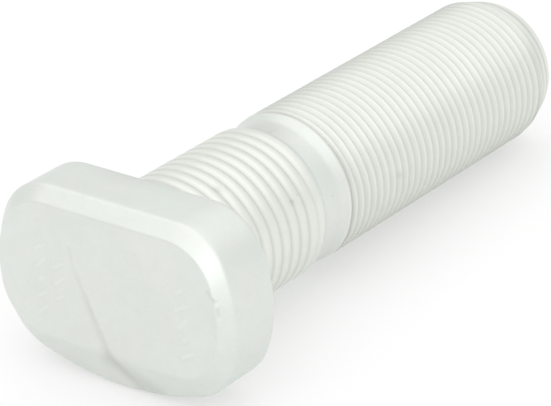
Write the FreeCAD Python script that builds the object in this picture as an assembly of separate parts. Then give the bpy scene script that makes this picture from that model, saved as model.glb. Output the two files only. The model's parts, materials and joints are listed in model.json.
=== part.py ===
"""Wheel bolt: a forged flat-sided head on a shank with a short thread, a plain neck and a long main thread.

Millimetres, +Z up. The bolt lies at rest on a level surface at z = 0, with its head towards -X and its tip
towards +X, and its origin is under the middle of its box. Both threads are plain at their crest diameters.
"""
import FreeCAD
import Part
import math
import os

# Driving dimensions along the bolt
overall_length = 91.9
head_thickness = 10.1
short_thread_length = 22.4
neck_entry_length = 1.3
neck_length = 3.4
neck_exit_length = 1.7
tip_length = 5.7

# Driving dimensions across the bolt
head_length = 39.1
upper_flat_height = 12.4
lower_side_drop = 14.0
lower_side_radius = 42.0
short_thread_diameter = 22.1
neck_diameter = 20.5
main_thread_diameter = 21.9
tip_diameter = 18.2

# Edges of the forging
head_corner_radius = 8.5
bevel_depth = 2.0
bevel_end_inset = 1.5
bevel_upper_inset = 1.9
bevel_lower_inset = 5.1
face_corner_radius = 7.3
face_lower_radius = 300.0
head_back_edge_radius = 0.6
under_head_fillet = 0.6
tip_edge_radius = 3.0

# Stations along the axis, counted from the outer face of the head
short_thread_end = head_thickness + short_thread_length
neck_start = short_thread_end + neck_entry_length
neck_end = neck_start + neck_length
main_thread_start = neck_end + neck_exit_length
main_thread_end = overall_length - tip_length

# The bolt is made with its axis level, its head along Y and the flat side of its head facing up
axis = FreeCAD.Vector(1, 0, 0)
along_head = FreeCAD.Vector(0, 1, 0)
up = FreeCAD.Vector(0, 0, 1)
head_face_centre = FreeCAD.Vector(0, 0, 0)


def on_face(across, height):
    """A point of the head's outer face, by its place along the head and its height above the axis."""
    return along_head * across + up * height


def corner_arc(start, centre, end):
    """A rounded corner from start to end about its centre."""
    middle = (start + end) * 0.5 - centre
    return Part.Arc(start, centre + middle * ((start - centre).Length / middle.Length), end).toShape()


def head_outline(half_length, height, drop, bow_radius, corner_radius):
    """Closed wire of the head: two round ends, a flat upper side and a bowed lower side, with rounded corners.

    A corner's centre lies one corner radius inside both the round end and the side that the corner joins.
    """
    inner_radius = half_length - corner_radius
    upper_rise = height - corner_radius
    upper_centre = on_face(math.sqrt(inner_radius ** 2 - upper_rise ** 2), upper_rise)
    bow_rise = bow_radius - drop
    inner_bow = bow_radius - corner_radius
    lower_rise = (inner_radius ** 2 - inner_bow ** 2 + bow_rise ** 2) / (2 * bow_rise)
    lower_centre = on_face(math.sqrt(inner_radius ** 2 - lower_rise ** 2), lower_rise)
    bow_centre = on_face(0, bow_rise)
    flat_end = upper_centre + up * corner_radius
    round_top = upper_centre * (half_length / inner_radius)
    round_foot = lower_centre * (half_length / inner_radius)
    bow_end = bow_centre + (lower_centre - bow_centre) * (bow_radius / inner_bow)
    one_end = [
        corner_arc(flat_end, upper_centre, round_top),
        Part.Arc(round_top, on_face(half_length, 0), round_foot).toShape(),
        corner_arc(round_foot, lower_centre, bow_end),
    ]
    other_end = [edge.mirror(head_face_centre, along_head) for edge in reversed(one_end)]
    flat = Part.LineSegment(on_face(-flat_end.y, height), flat_end).toShape()
    bow = Part.Arc(bow_end, on_face(0, -drop), on_face(-bow_end.y, bow_end.z)).toShape()
    return Part.Wire([flat] + one_end + [bow] + other_end)


def edges_at(shape, station):
    """The edges of a shape that lie whole in the plane across the axis at a station."""
    tolerance = 1e-4
    return [edge for edge in shape.Edges
            if max(abs(edge.BoundBox.XMin - station), abs(edge.BoundBox.XMax - station)) < tolerance]


def head_solid():
    """The forged head: a block behind a bevel that narrows to the outer face, eased round its back edge."""
    half_length = head_length / 2
    face = head_outline(half_length - bevel_end_inset, upper_flat_height - bevel_upper_inset,
                        lower_side_drop - bevel_lower_inset, face_lower_radius, face_corner_radius)
    rim = head_outline(half_length, upper_flat_height, lower_side_drop, lower_side_radius, head_corner_radius)
    rim.translate(axis * bevel_depth)
    bevel = Part.makeLoft([face, rim], True, True)
    block = Part.Face(rim).extrude(axis * (head_thickness - bevel_depth))
    head = block.fuse(bevel).removeSplitter()
    return head.makeFillet(head_back_edge_radius, edges_at(head, head_thickness))


def shank_solid():
    """The shank: half its section, with the fillet that joins it to the head, spun about the axis."""
    root_radius = short_thread_diameter / 2 + under_head_fillet
    root_corner = (head_thickness + under_head_fillet, root_radius)
    fillet_middle = under_head_fillet * math.sqrt(0.5)
    section = [
        (head_thickness + under_head_fillet, short_thread_diameter / 2),
        (short_thread_end, short_thread_diameter / 2),
        (neck_start, neck_diameter / 2),
        (neck_end, neck_diameter / 2),
        (main_thread_start, main_thread_diameter / 2),
        (main_thread_end, main_thread_diameter / 2),
        (overall_length, tip_diameter / 2),
        (overall_length, 0),
        (head_thickness / 2, 0),
        (head_thickness / 2, root_radius),
        (head_thickness, root_radius),
    ]
    corners = [axis * station + up * radius for station, radius in section]
    arc_middle = axis * (root_corner[0] - fillet_middle) + up * (root_corner[1] - fillet_middle)
    fillet = Part.Arc(corners[-1], arc_middle, corners[0]).toShape()
    half_section = Part.Wire(Part.makePolygon(corners).Edges + [fillet])
    spun = Part.Face(half_section).revolve(head_face_centre, axis, 360)
    return spun.makeFillet(tip_edge_radius, edges_at(spun, overall_length))


def resting_tilt():
    """Slope of the bolt on a level surface, in degrees.

    The surface touches the rounded back edge of the lower side and the first corner of the shank that it meets.
    """
    edge_station = head_thickness - head_back_edge_radius
    edge_drop = lower_side_drop - head_back_edge_radius
    shank_corners = [
        (short_thread_end, short_thread_diameter / 2),
        (main_thread_start, main_thread_diameter / 2),
        (main_thread_end, main_thread_diameter / 2),
    ]
    slopes = []
    for station, radius in shank_corners:
        run = station - edge_station
        rise = edge_drop - radius
        slopes.append(math.atan2(rise, run) + math.asin(head_back_edge_radius / math.hypot(run, rise)))
    return math.degrees(min(slopes))


bolt = head_solid().fuse(shank_solid()).removeSplitter().Solids[0]

# Laid down on the lower side of its head, and moved over the origin
bolt.rotate(head_face_centre, along_head, resting_tilt())
box = bolt.optimalBoundingBox()
bolt.translate(FreeCAD.Vector(-box.Center.x, -box.Center.y, -box.ZMin))

os.makedirs("parts", exist_ok=True)
bolt.exportStep("parts/wheel_bolt.step")
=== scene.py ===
import bmesh
import bpy
import json
import numpy as np
from mathutils import Matrix, Vector


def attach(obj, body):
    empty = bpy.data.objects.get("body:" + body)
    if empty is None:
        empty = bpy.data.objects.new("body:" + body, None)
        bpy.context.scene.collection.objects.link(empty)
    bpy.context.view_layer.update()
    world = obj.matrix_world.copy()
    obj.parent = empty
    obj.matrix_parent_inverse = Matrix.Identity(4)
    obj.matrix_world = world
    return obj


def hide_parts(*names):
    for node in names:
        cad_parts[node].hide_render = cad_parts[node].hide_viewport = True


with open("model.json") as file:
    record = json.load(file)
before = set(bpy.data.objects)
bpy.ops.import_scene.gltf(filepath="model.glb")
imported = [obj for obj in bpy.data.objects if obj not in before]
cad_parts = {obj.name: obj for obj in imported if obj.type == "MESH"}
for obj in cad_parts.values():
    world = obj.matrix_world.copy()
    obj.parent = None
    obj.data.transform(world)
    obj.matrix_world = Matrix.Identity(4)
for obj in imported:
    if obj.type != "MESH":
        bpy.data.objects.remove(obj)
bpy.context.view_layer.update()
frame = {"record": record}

# Head
# An oblong head, forged in one with the shank: two round ends, a flat upper side and a bowed lower side,
# with a bevel round its outer face that is widest below. The bolt lies on the lower side.
mm = 0.001
mounts = {mount["name"]: mount for mount in frame["record"]["mounts"]}
to_tip = np.array(mounts["main_thread"]["axis"])
up = np.array(mounts["upper_flat"]["axis"])
along_head = np.cross(up, to_tip)
face_centre = np.array(mounts["head_face"]["pos_m"])

head_thickness = np.dot(np.array(mounts["head_underside"]["pos_m"]) - face_centre, to_tip)
half_length = 19.55 * mm
flat_height = np.dot(np.array(mounts["upper_flat"]["pos_m"]) - face_centre, up)
lower_drop = 14.0 * mm
lower_bow = 42.0 * mm
rim_corner = 8.5 * mm
bevel_depth = 2.0 * mm
end_inset = 1.5 * mm
upper_inset = 1.9 * mm
lower_inset = 5.1 * mm
face_corner = 7.3 * mm
face_bow = 300.0 * mm
face_edge_ease = 0.25 * mm
rim_edge_ease = 0.4 * mm
back_edge = 0.6 * mm
root_fillet = 0.6 * mm
head_columns = 432
face_row_count = 75
bevel_row_count = 14
head_turn = np.linspace(0.0, 2.0 * np.pi, head_columns + 1)


def eased(corners, reaches, steps):
    """A broken line with its inner corners rounded: each corner P becomes the quadratic curve
    (1-t)^2 S + 2t(1-t) P + t^2 E, where S and E lie on the two legs at the corner's reach from P."""
    corners = np.array(corners, float)
    t = np.linspace(0.0, 1.0, steps)[:, None]
    line = [corners[:1]]
    for before, corner, after, reach in zip(corners, corners[1:], corners[2:], reaches):
        start = corner + (before - corner) * reach / np.linalg.norm(before - corner)
        end = corner + (after - corner) * reach / np.linalg.norm(after - corner)
        line.append((1 - t) ** 2 * start + 2 * t * (1 - t) * corner + t ** 2 * end)
    return np.vstack(line + [corners[-1:]])


def outline(length, height, drop, bow, corner):
    """Distance of the head's outline from the axis at each turn. A ray along the unit way u leaves a circle
    of centre C and radius r at u.C + sqrt((u.C)^2 - C.C + r^2): a corner or the lower bow. The flat upper
    side is its height over the sine of the turn, and the round end is its own radius."""
    inner = length - corner
    upper_rise = height - corner
    upper_reach = np.sqrt(inner ** 2 - upper_rise ** 2)
    bow_rise = bow - drop
    lower_rise = (inner ** 2 - (bow - corner) ** 2 + bow_rise ** 2) / (2.0 * bow_rise)
    lower_reach = np.sqrt(inner ** 2 - lower_rise ** 2)
    bow_share = bow / (bow - corner)
    bow_end = np.arctan2(bow_rise + (lower_rise - bow_rise) * bow_share, lower_reach * bow_share)
    across, high = np.abs(np.cos(head_turn)), np.sin(head_turn)
    ray = np.arctan2(high, across)

    def leaving(reach, rise, radius):
        toward = reach * across + rise * high
        return toward + np.sqrt(np.maximum(toward ** 2 - reach ** 2 - rise ** 2 + radius ** 2, 0.0))

    return np.select(
        [ray >= np.arctan2(height, upper_reach), ray >= np.arctan2(upper_rise, upper_reach),
         ray >= np.arctan2(lower_rise, lower_reach), ray >= bow_end],
        [height / np.maximum(high, 1e-9), leaving(upper_reach, upper_rise, corner),
         np.full_like(ray, length), leaving(lower_reach, lower_rise, corner)],
        leaving(0.0, bow_rise, bow))


def rim(inset):
    """The outline of the head behind its bevel, drawn in by an inset."""
    return outline(half_length - inset, flat_height - inset, lower_drop - inset, lower_bow - inset,
                   rim_corner - inset)


face_rim = outline(half_length - end_inset, flat_height - upper_inset, lower_drop - lower_inset,
                   face_bow, face_corner)
bevel_edges = eased(
    [(upper_inset + 4.0 * face_edge_ease, 0.0), (upper_inset, 0.0), (0.0, bevel_depth),
     (0.0, bevel_depth + 3.0 * rim_edge_ease)],
    [face_edge_ease, rim_edge_ease], 6)[1:]
bevel_flat = np.linspace(bevel_edges[5], bevel_edges[6], bevel_row_count + 2)[1:-1]
bevel_line = np.vstack([bevel_edges[:6], bevel_flat, bevel_edges[6:]])
bevel_share = 1.0 - bevel_line[:, :1] / upper_inset
bevel_rows = face_rim + (rim(0.0) - face_rim) * bevel_share
face_rows = np.linspace(0.0, 1.0, face_row_count + 1)[:-1, None] * bevel_rows[0]
side_station = np.linspace(bevel_depth + 5.0 * rim_edge_ease, head_thickness - 2.0 * back_edge, 3)
side_rows = np.array([rim(0.0)] * len(side_station))
back_line = eased([(0.0, bevel_depth), (0.0, head_thickness), (2.0 * back_edge, head_thickness)],
                  [back_edge], 6)[1:-1]
back_rows = np.array([rim(inset) for inset, _ in back_line])
seat_radius = mounts["hub_seat"]["dims"]["r_mm"] * mm
under_share = np.linspace(0.0, 1.0, 6)[1:-1, None]
under_rows = back_rows[-1] + (seat_radius + root_fillet - back_rows[-1]) * under_share
head_radius = np.vstack([face_rows, bevel_rows, side_rows, back_rows, under_rows])
head_rows = np.concatenate([np.zeros(len(face_rows)), bevel_line[:, 1], side_station, back_line[:, 1],
                            np.full(len(under_rows), head_thickness)])
head_station = np.repeat(head_rows[:, None], len(head_turn), axis=1)
head_across, head_high = head_radius * np.cos(head_turn), head_radius * np.sin(head_turn)
on_front = head_station < bevel_depth + rim_edge_ease

# Crease, chips and bars of the head
# A forging lap runs down the face and over its lower bevel, and the right end of the bevel is chipped.
# Rows of low plain bars are pressed up near both ends of the face.


def ramp(value, low, high):
    """Smooth step from 0 at low to 1 at high."""
    share = np.clip((value - low) / (high - low), 0.0, 1.0)
    return share * share * (3.0 - 2.0 * share)


def closeness(start, end, half_width):
    """How near each point of the head's front lies to a straight stroke across it: 1 on the stroke, falling
    evenly to 0 at the half width. Places are along the head and up from the axis, in millimetres."""
    start, end = np.array(start) * mm, np.array(end) * mm
    run = end - start
    along = (head_across - start[0]) * run[0] + (head_high - start[1]) * run[1]
    share = np.clip(along / np.dot(run, run), 0.0, 1.0)
    gap = np.hypot(head_across - start[0] - share * run[0], head_high - start[1] - share * run[1])
    return np.clip(1.0 - gap / (half_width * mm), 0.0, 1.0) * on_front


def nearest(strokes):
    """The greatest closeness to any one of several strokes."""
    return np.max([closeness(*stroke) for stroke in strokes], axis=0)


crease_path = [(5.9, 5.0), (5.4, 2.4), (3.8, -1.2), (2.4, -4.6), (0.4, -8.8), (-2.9, -12.7),
               (-3.4, -13.3)]
crease_widths = [0.55, 0.75, 0.95, 1.1, 1.3, 1.3]
crease_depth = 0.16 * mm
crease_top_share = 0.45
crease_deepens = crease_top_share + (1.0 - crease_top_share) * ramp(head_high, 3.5 * mm, -4.0 * mm)
crease = ramp(nearest(zip(crease_path, crease_path[1:], crease_widths)), 0.0, 1.0) * crease_deepens
chip_depth = 0.16 * mm
chip_strokes = [((-16.7, 5.0), (-16.9, 4.7), 0.4), ((-17.4, 4.1), (-17.7, 3.8), 0.38),
                ((-18.0, 2.8), (-18.1, 1.8), 0.3)]
chips = nearest(chip_strokes)
right_row = -12.4
right_row_lean = 0.12
outer_left_row = 10.9
inner_left_row = 7.9
bar_places = [(right_row + right_row_lean * height, height) for height in np.linspace(-5.0, 3.8, 5)]
bar_places += [(outer_left_row, height) for height in np.linspace(-5.0, 4.2, 5)]
bar_places += [(inner_left_row, height) for height in np.linspace(-2.4, 2.2, 3)]
bar_slants = [(0.85, -0.5), (0.45, -0.3), (0.7, -0.7)]
bar_half_width = 0.42
bar_height = 0.1 * mm
bar_ends = [(np.array(place) - bar_slants[count % 3], np.array(place) + bar_slants[count % 3])
            for count, place in enumerate(bar_places)]
bars = ramp(nearest([(start, end, bar_half_width) for start, end in bar_ends]), 0.0, 0.7)
bar_feet = ramp(nearest([(start, end, 2.0 * bar_half_width) for start, end in bar_ends]), 0.0, 0.8)
head_station = head_station + crease_depth * crease + chip_depth * chips - bar_height * bars

# Short thread
# The stretch next to the head carries a short coarse thread that bites into the hub. Its ridges have broad
# flat lands and shallow narrow grooves, and the last ridge before the neck is not fully formed.
seat_start = head_thickness + root_fillet
seat_end = seat_start + mounts["hub_seat"]["dims"]["length_mm"] * mm
seat_stop = seat_end - 0.2 * mm
seat_pitch = 2.0 * mm
seat_plain_start = 0.3 * mm
seat_fade = 0.9 * seat_pitch
seat_depth = 0.19 * mm
seat_first_crest = 15.3 * mm
seat_land = 0.3
seat_root = 0.05
shank_turn = head_turn[::3]
fillet_row_count = 5


def along_helix(start, end, pitch, first_crest, land, root):
    """Stations of rows that follow a right-hand helix, cut off at both ends of the thread, and how far each
    point lies from the nearest crest, from 0 on the crest to 0.5 in the groove. Each pitch has six rows."""
    steps = np.array([0.0, land, 0.5 - root, 0.5, 0.5 + root, 1.0 - land])
    first_turn = np.floor((start - first_crest) / pitch) - 1
    turns = np.arange(first_turn, np.ceil((end - first_crest) / pitch) + 1)
    rows = (turns[:, None] + steps).ravel()[:, None]
    station = np.clip(first_crest + pitch * (rows + shank_turn / (2.0 * np.pi)), start, end)
    phase = (station - first_crest) / pitch - shank_turn / (2.0 * np.pi)
    return station, np.abs(phase - np.round(phase))


def groove(from_crest, land, root):
    """Depth of a thread as a share of its full depth: none on the land, full in the groove, and rising evenly
    along the flanks between them."""
    return np.clip((from_crest - land) / (0.5 - root - land), 0.0, 1.0)


fillet_turn = np.linspace(0.0, np.pi / 2, fillet_row_count + 1)[:-1]
fillet_station = head_thickness + root_fillet * (1.0 - np.cos(fillet_turn))
fillet_radius = seat_radius + root_fillet * (1.0 - np.sin(fillet_turn))
seat_station, seat_from_crest = along_helix(seat_start, seat_stop, seat_pitch, seat_first_crest,
                                            seat_land, seat_root)
seat_run_in = ramp(seat_station, seat_start + seat_plain_start, seat_start + seat_pitch)
seat_run_out = ramp(seat_station, seat_stop, seat_stop - seat_fade)
seat_cut = groove(seat_from_crest, seat_land, seat_root) * seat_run_in * seat_run_out
seat_rows = seat_radius - seat_depth * seat_cut

# Neck
# A short plain waist, left at the size of the bar between the two threads. The short thread runs out in a
# low step on the slope that leads down to it, and a second slope leads up to the long thread.
neck_radius = 10.25 * mm
neck_entry = 1.3 * mm
neck_length = 3.4 * mm
neck_exit = 1.7 * mm
step_start = 0.3 * mm
step_end = 0.75 * mm
step_drop = 0.5 * mm
step_rise = 0.03 * mm
main_radius = mounts["main_thread"]["dims"]["r_mm"] * mm
neck_end = seat_end + neck_entry + neck_length
neck_eases = np.array([0.1, 0.12, 0.12, 0.4, 0.5]) * mm
neck_line = eased(
    [(seat_stop, seat_radius), (seat_end, seat_radius), (seat_end + step_start, seat_radius - step_drop),
     (seat_end + step_end, seat_radius - step_drop + step_rise), (seat_end + neck_entry, neck_radius),
     (neck_end, neck_radius), (neck_end + neck_exit, main_radius)],
    neck_eases, 5)[1:-1]

# Long thread and tip
# The long fine thread takes the wheel nut. It is rolled, so its crests stand above the neck, and it fades
# out on the tip, which tapers in to a flat end with a rounded edge.
tip_length = 5.7 * mm
tip_radius = 9.1 * mm
tip_edge = 2.16 * mm
main_start = neck_end + neck_exit
main_end = main_start + mounts["main_thread"]["dims"]["length_mm"] * mm
bolt_length = main_end + tip_length
main_pitch = 1.5 * mm
main_depth = 0.75 * mm
main_first_crest = 39.4 * mm
main_land = 0.09
main_root = 0.1
main_run_in_start = main_start - 0.4 * mm
main_run_in_end = main_start + 1.4 * mm
tip_slope = (main_radius - tip_radius) / tip_length
thread_stop = main_end + 3.4 * mm
main_station, main_from_crest = along_helix(main_run_in_start, thread_stop, main_pitch, main_first_crest,
                                            main_land, main_root)
main_run_in = ramp(main_station, main_run_in_start, main_run_in_end)
neck_slope = neck_radius + (main_radius - neck_radius) * (main_station - neck_end) / neck_exit
skin = np.minimum(np.minimum(neck_slope, main_radius), main_radius - tip_slope * (main_station - main_end))
main_cut = groove(main_from_crest, main_land, main_root) * main_run_in
main_rows = np.minimum(skin, main_radius - main_depth * main_cut)
tip_line = eased(
    [(thread_stop, main_radius - tip_slope * (thread_stop - main_end)), (bolt_length, tip_radius),
     (bolt_length, 0.0)],
    [tip_edge], 6)[1:-1]
tip_face_row_count = 9
tip_face = np.linspace(1.0, 0.0, tip_face_row_count + 1)[1:] * tip_line[-1, 1]
tip_line = np.vstack([tip_line, np.column_stack([np.full(len(tip_face), bolt_length), tip_face])])


def as_rows(values):
    """One value for each row, spread round the whole shank."""
    return np.repeat(np.asarray(values)[:, None], len(shank_turn), axis=1)


def in_frame(station, radius, turn):
    """Points of the bolt: so far along its axis from the head's face, and so far out from the axis at a turn,
    which is counted from the way along the head towards the way up."""
    return (face_centre + station[..., None] * to_tip
            + (radius * np.cos(turn))[..., None] * along_head
            + (radius * np.sin(turn))[..., None] * up)


def grid_cells(index):
    """Corners of the four-sided cells of a grid of point numbers."""
    corners = [index[:-1, :-1], index[:-1, 1:], index[1:, 1:], index[1:, :-1]]
    return np.stack(corners, axis=-1).reshape(-1, 4)


def forged_in_one(name, head, shank, values, shank_finish):
    """One mesh over the grids of the head and the shank. The head's last row has three points for each one
    of the shank's first row, so a ring of six-sided faces joins them. Points that coincide are merged into
    one, and each pair of value grids becomes a value on the points that the materials read by its name."""
    head_index = np.arange(head[..., 0].size).reshape(head.shape[:2])
    shank_index = head_index.size + np.arange(shank[..., 0].size).reshape(shank.shape[:2])
    last, first = head_index[-1], shank_index[0]
    ring = np.stack([last[0:-1:3], last[1::3], last[2::3], last[3::3], first[1:], first[:-1]], axis=-1)
    head_cells, shank_cells = grid_cells(head_index), grid_cells(shank_index)
    mesh = bpy.data.meshes.new(name)
    mesh.from_pydata(np.vstack([head.reshape(-1, 3), shank.reshape(-1, 3)]), [],
                     head_cells.tolist() + ring.tolist() + shank_cells.tolist())
    for value_name, grids in values.items():
        spread = np.concatenate([grid.ravel() for grid in grids])
        mesh.attributes.new(value_name, "FLOAT", "POINT").data.foreach_set("value", spread)
    forged = np.zeros(len(head_cells) + len(ring), int)
    finish = np.concatenate([forged, np.repeat(shank_finish[:-1], shank.shape[1] - 1)])
    mesh.polygons.foreach_set("material_index", finish)
    merged = bmesh.new()
    merged.from_mesh(mesh)
    bmesh.ops.remove_doubles(merged, verts=merged.verts, dist=1e-6)
    bmesh.ops.recalc_face_normals(merged, faces=merged.faces)
    merged.to_mesh(mesh)
    merged.free()
    mesh.shade_smooth()
    piece = bpy.data.objects.new(name, mesh)
    bpy.context.scene.collection.objects.link(piece)
    return piece


# Each spot is painted shade, dirt or a speck. The first is painted shade on the top of the neck, the second
# is dirt and painted shade where the head meets the short thread, and the rest are small specks. Each lies at
# a station in millimetres and a turn in degrees, and its length and width are millimetres
stains_and_shades = [
    {"station": 34.6, "turn": 84.0, "length": 2.4, "width": 5.5, "strength": 0.8},
    {"station": 10.0, "turn": 80.0, "length": 1.8, "width": 7.0, "strength": 0.5},
    {"station": 17.1, "turn": 119.0, "length": 0.5, "width": 0.6, "strength": 1.0},
    {"station": 27.1, "turn": 153.0, "length": 0.4, "width": 0.4, "strength": 1.0},
    {"station": 50.6, "turn": 180.0, "length": 0.5, "width": 0.5, "strength": 0.7},
    {"station": 36.4, "turn": 91.0, "length": 0.4, "width": 0.4, "strength": 1.0},
    {"station": 34.2, "turn": 95.0, "length": 0.4, "width": 0.4, "strength": 1.0},
]


def stain_and_shade_at(station, turn):
    """How much each point is darkened by the stains, specks and painted shade spots. Each spot is its
    strength times exp(-(a^2 + b^2)), where a is the distance from it along the axis over its length, and b
    the distance round the bolt over its width."""
    bells = []
    for stain_and_shade in stains_and_shades:
        along = (station - stain_and_shade["station"] * mm) / (stain_and_shade["length"] * mm)
        turn_gap = np.angle(np.exp(1j * (turn - np.radians(stain_and_shade["turn"]))))
        around = turn_gap * main_radius / (stain_and_shade["width"] * mm)
        bells.append(stain_and_shade["strength"] * np.exp(-(along ** 2 + around ** 2)))
    return np.max(bells, axis=0)


shank_station = np.vstack([as_rows(fillet_station), seat_station, as_rows(neck_line[:, 0]), main_station,
                           as_rows(tip_line[:, 0])])
shank_radius = np.vstack([as_rows(fillet_radius), seat_rows, as_rows(neck_line[:, 1]), main_rows,
                          as_rows(tip_line[:, 1])])
# Painted shade in the thread grooves: each point's share of its groove depth darkens the coat's colour, less
# on the short thread.
seat_groove_shade_share = 0.6
groove_shade = np.vstack([as_rows(0.0 * fillet_station), seat_groove_shade_share * seat_cut,
                     as_rows(0.0 * neck_line[:, 0]), main_cut, as_rows(0.0 * tip_line[:, 0])])
rolled = np.concatenate([np.ones(len(fillet_station) + len(seat_rows)), np.zeros(len(neck_line)),
                         np.ones(len(main_rows) + len(tip_line))]).astype(int)
# Painted shade: a broad dark patch on the lower bevel along the crease.
bevel_shade_start = (0.4, -9.6)
bevel_shade_end = (-6.0, -12.9)
bevel_shade_half_width = 2.6
bevel_shade_strength = 0.6
bevel_painted_shade = bevel_shade_strength * ramp(
    closeness(bevel_shade_start, bevel_shade_end, bevel_shade_half_width), 0.0, 1.0)
# Painted shade: the crease and the chips are darkened in colour, the chips more strongly.
chip_shade = 1.2
# Painted highlight on the tops of the bars and painted shade round their feet.
bar_painted_highlight = 1.5
bar_foot_painted_shade = 0.5
none_on_shank = np.zeros_like(shank_station)
bolt = forged_in_one(
    "wheel_bolt_finish",
    in_frame(head_station, head_radius, head_turn),
    in_frame(shank_station, shank_radius, shank_turn),
    {"groove": (np.zeros_like(head_station), groove_shade),
     "dent_shade": (np.maximum(crease, chip_shade * chips), none_on_shank),
     "bar_highlight_and_shade": (bar_painted_highlight * bars - bar_foot_painted_shade * bar_feet, none_on_shank),
     "stain_and_shade": (np.maximum(stain_and_shade_at(head_station, head_turn), bevel_painted_shade),
               stain_and_shade_at(shank_station, shank_turn))},
    rolled)

# Zinc coating
# A pale matte zinc coat over the whole bolt, faintly green. It is cloudy and finely grained on the forged
# head and neck, with a few faint specks and stains.
# Painted shade darkens it in the thread grooves, the crease and chips, round the feet of the bars, on the
# lower bevel, on the top of the neck and where the head meets the short thread, and a painted highlight makes
# the tops of the bars paler.


def node_group(name, inputs, outputs):
    """An empty node group with number or vector sockets, and its two end nodes."""
    tree = bpy.data.node_groups.new(name, "ShaderNodeTree")
    for socket_name, kind in inputs.items():
        tree.interface.new_socket(socket_name, in_out="INPUT", socket_type=kind)
    for socket_name, kind in outputs.items():
        tree.interface.new_socket(socket_name, in_out="OUTPUT", socket_type=kind)
    return tree, tree.nodes.new("NodeGroupInput"), tree.nodes.new("NodeGroupOutput")


def node(tree, kind, settings=None, **inputs):
    """A node with its settings, and each named input either linked to a socket or set to a plain value. A
    name such as i2 stands for the input of that number, and an underscore in a name for a space."""
    made = tree.nodes.new(kind)
    for key, value in (settings or {}).items():
        setattr(made, key, value)
    for key, value in inputs.items():
        socket = made.inputs[int(key[1:])] if key[1:].isdigit() else made.inputs[key.replace("_", " ")]
        if isinstance(value, bpy.types.NodeSocket):
            tree.links.new(value, socket)
        else:
            socket.default_value = value
    return made


def number(tree, operation, first, second, third=0.0):
    """The result of one step of arithmetic on numbers or sockets."""
    return node(tree, "ShaderNodeMath", {"operation": operation}, i0=first, i1=second, i2=third).outputs[0]


def noise(tree, place, scale, detail):
    """Cloudy noise from 0 to 1, with so many cells to the metre."""
    texture = node(tree, "ShaderNodeTexNoise", Vector=place, Scale=scale, Detail=detail, Roughness=0.6)
    return texture.outputs[0]


clouds, clouds_in, clouds_out = node_group(
    "coating_clouds", {"Place": "NodeSocketVector", "Strength": "NodeSocketFloat"},
    {"Tone": "NodeSocketFloat", "Hue": "NodeSocketFloat", "Height": "NodeSocketFloat"})
broad = noise(clouds, clouds_in.outputs["Place"], scale=70.0, detail=3.0)
middle = noise(clouds, clouds_in.outputs["Place"], scale=420.0, detail=4.0)
grain = noise(clouds, clouds_in.outputs["Place"], scale=2600.0, detail=2.0)
cloud_sum = number(clouds, "MULTIPLY_ADD", middle, 0.6, broad)
cloud_sum = number(clouds, "MULTIPLY_ADD", grain, 0.5, cloud_sum)
cloud_swing = number(clouds, "SUBTRACT", cloud_sum, 1.05)
cloud_tone = number(clouds, "MULTIPLY_ADD", cloud_swing, clouds_in.outputs["Strength"], 1.0)
hue_noise = noise(clouds, clouds_in.outputs["Place"], scale=160.0, detail=1.0)
hue = node(clouds, "ShaderNodeMapRange", {"interpolation_type": "SMOOTHSTEP"}, Value=hue_noise,
           From_Min=0.35, From_Max=0.65).outputs[0]
clouds.links.new(cloud_tone, clouds_out.inputs["Tone"])
clouds.links.new(hue, clouds_out.inputs["Hue"])
clouds.links.new(number(clouds, "ADD", middle, grain), clouds_out.inputs["Height"])

specks, specks_in, specks_out = node_group(
    "coating_specks", {"Place": "NodeSocketVector", "Size": "NodeSocketFloat"}, {"Tone": "NodeSocketFloat"})
cells = node(specks, "ShaderNodeTexVoronoi", Vector=specks_in.outputs["Place"], Scale=420.0)
speck_draw = node(specks, "ShaderNodeSeparateColor", Color=cells.outputs["Color"])
speck_rarity = 0.7
speck_dark = 0.12
speck_rare = number(specks, "GREATER_THAN", speck_draw.outputs[0], speck_rarity)
speck_reach = number(specks, "MULTIPLY", speck_draw.outputs[1], specks_in.outputs["Size"])
speck_edge = number(specks, "DIVIDE", cells.outputs["Distance"], speck_reach)
speck_inside = number(specks, "MAXIMUM", number(specks, "SUBTRACT", 1.0, speck_edge), 0.0)
speck_depth = number(specks, "MULTIPLY", speck_inside, speck_rare)
specks.links.new(number(specks, "MULTIPLY_ADD", speck_depth, -speck_dark, 1.0), specks_out.inputs["Tone"])


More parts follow.
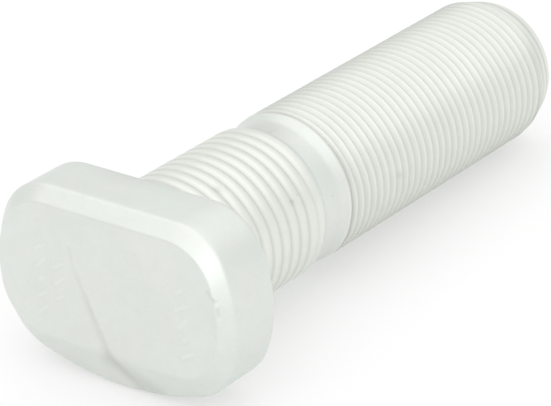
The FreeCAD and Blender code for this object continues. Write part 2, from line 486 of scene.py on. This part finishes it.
def zinc_finish(name, green_tint, grey_tint, roughness, cloud_strength, groove_painted_shade, bump_height):
    """The zinc coat in one of its finishes: a cloudy mix of two tints, times clouds, specks and one factor
    for each value on the points, so that painted shade makes it darker in grooves, dents and shaded spots,
    stains darken it, and a painted highlight makes the bars paler."""
    material = bpy.data.materials.new(name)
    material.use_nodes = True
    tree = material.node_tree
    place = node(tree, "ShaderNodeTexCoord").outputs["Object"]
    cloud = node(tree, "ShaderNodeGroup", {"node_tree": clouds}, Place=place, Strength=cloud_strength)
    speck = node(tree, "ShaderNodeGroup", {"node_tree": specks}, Place=place, Size=0.14)
    tone = number(tree, "MULTIPLY", cloud.outputs["Tone"], speck.outputs["Tone"])
    # Painted shade in the grooves, crease and chips and at the bar feet, a painted highlight on the bar tops,
    # and stains with painted shade spots.
    tone_gains = {"groove": -groove_painted_shade, "dent_shade": -0.08, "bar_highlight_and_shade": 0.035, "stain_and_shade": -0.17}
    for value_name, gain in tone_gains.items():
        value = node(tree, "ShaderNodeAttribute", {"attribute_name": value_name}).outputs["Fac"]
        if value_name == "stain_and_shade":
            value = number(tree, "MULTIPLY", value, cloud.outputs["Height"])
        tone = number(tree, "MULTIPLY", tone, number(tree, "MULTIPLY_ADD", value, gain, 1.0))
    tint = node(tree, "ShaderNodeMix", {"data_type": "RGBA"}, i0=cloud.outputs["Hue"],
                i6=green_tint, i7=grey_tint)
    colour = node(tree, "ShaderNodeVectorMath", {"operation": "SCALE"}, Vector=tint.outputs[2], Scale=tone)
    rough = number(tree, "MULTIPLY_ADD", cloud.outputs["Tone"], -0.5, roughness + 0.5)
    bump = node(tree, "ShaderNodeBump", Strength=0.5, Distance=bump_height, Height=cloud.outputs["Height"])
    shader = tree.nodes["Principled BSDF"]
    shader.inputs["Metallic"].default_value = 0.9
    tree.links.new(colour.outputs[0], shader.inputs["Base Color"])
    tree.links.new(rough, shader.inputs["Roughness"])
    tree.links.new(bump.outputs[0], shader.inputs["Normal"])
    return material


forged_zinc = zinc_finish(
    "forged_zinc", green_tint=(0.730, 0.770, 0.727, 1.0), grey_tint=(0.739, 0.763, 0.727, 1.0),
    roughness=0.46, cloud_strength=0.10, groove_painted_shade=0.0, bump_height=0.03 * mm)
rolled_zinc = zinc_finish(
    "rolled_zinc", green_tint=(0.770, 0.797, 0.746, 1.0), grey_tint=(0.777, 0.794, 0.745, 1.0),
    roughness=0.46, cloud_strength=0.08, groove_painted_shade=0.18, bump_height=0.012 * mm)
bolt.data.materials.append(forged_zinc)
bolt.data.materials.append(rolled_zinc)
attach(bolt, "root")
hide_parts("wheel_bolt")

# Floor
# A plain white table top, lit softly from below, that the bolt lies on.
floor_half = 1.5
floor_mesh = bpy.data.meshes.new("floor")
floor_mesh.from_pydata([(-floor_half, -floor_half, 0.0), (floor_half, -floor_half, 0.0),
                        (floor_half, floor_half, 0.0), (-floor_half, floor_half, 0.0)], [], [(0, 1, 2, 3)])
floor = bpy.data.objects.new("floor", floor_mesh)
bpy.context.scene.collection.objects.link(floor)
table_white = (0.5, 0.5, 0.5, 1.0)
table_glow = 0.43
table = bpy.data.materials.new("white_table")
table.use_nodes = True
table_shader = table.node_tree.nodes["Principled BSDF"]
table_shader.inputs["Base Color"].default_value = table_white
table_shader.inputs["Roughness"].default_value = 0.9
table_shader.inputs["Emission Color"].default_value = (1.0, 1.0, 1.0, 1.0)
table_shader.inputs["Emission Strength"].default_value = table_glow
floor_mesh.materials.append(table)

# Light
# Even white light from all round, a broad soft box overhead, and a weaker one to the right of the camera.
room_brightness = 0.92
world = bpy.data.worlds.new("white_room")
world.use_nodes = True
world.node_tree.nodes["Background"].inputs["Color"].default_value = (1.0, 1.0, 1.0, 1.0)
world.node_tree.nodes["Background"].inputs["Strength"].default_value = room_brightness
bpy.context.scene.world = world


def soft_box(name, way, distance, size, power):
    """A round soft light at a distance along a way from the bolt, turned to face it."""
    data = bpy.data.lights.new(name, "AREA")
    data.shape = "DISK"
    data.size = size
    data.energy = power
    light = bpy.data.objects.new(name, data)
    toward = Vector(way).normalized()
    light.location = toward * distance
    light.rotation_mode = "QUATERNION"
    light.rotation_quaternion = toward.to_track_quat("Z", "Y")
    bpy.context.scene.collection.objects.link(light)


soft_box("overhead_soft_box", way=(-0.1, -0.1, 0.98), distance=0.8, size=2.1, power=4.1)
soft_box("right_soft_box", way=(-0.6, -0.65, 0.35), distance=0.9, size=0.8, power=1.0)
bpy.context.scene.view_settings.view_transform = "Standard"

# Camera
# A long lens that looks down on the head from in front of its right end, with the shank running away to the
# upper right. Its place and its ways of sight are given along the bolt, along the head and up.
image_width = 551.0
focal_pixels = 3280.0
camera_data = bpy.data.cameras.new("camera")
camera_data.sensor_width = 36.0
camera_data.lens = camera_data.sensor_width * focal_pixels / image_width
camera_from_face = np.array([-283.6, -247.0, 189.0]) * mm
sight = np.array([0.716, 0.553, -0.426])
sight_up = np.array([0.360, 0.230, 0.904])
bolt_axes = np.array([to_tip, along_head, up])
camera_back = Vector(-sight @ bolt_axes).normalized()
camera_right = Vector(sight_up @ bolt_axes).cross(camera_back).normalized()
camera_up = camera_back.cross(camera_right)
camera = bpy.data.objects.new("camera", camera_data)
camera.matrix_world = Matrix.Translation(Vector(face_centre + camera_from_face @ bolt_axes)) @ Matrix(
    (camera_right, camera_up, camera_back)).transposed().to_4x4()
bpy.context.scene.collection.objects.link(camera)
bpy.context.scene.camera = camera
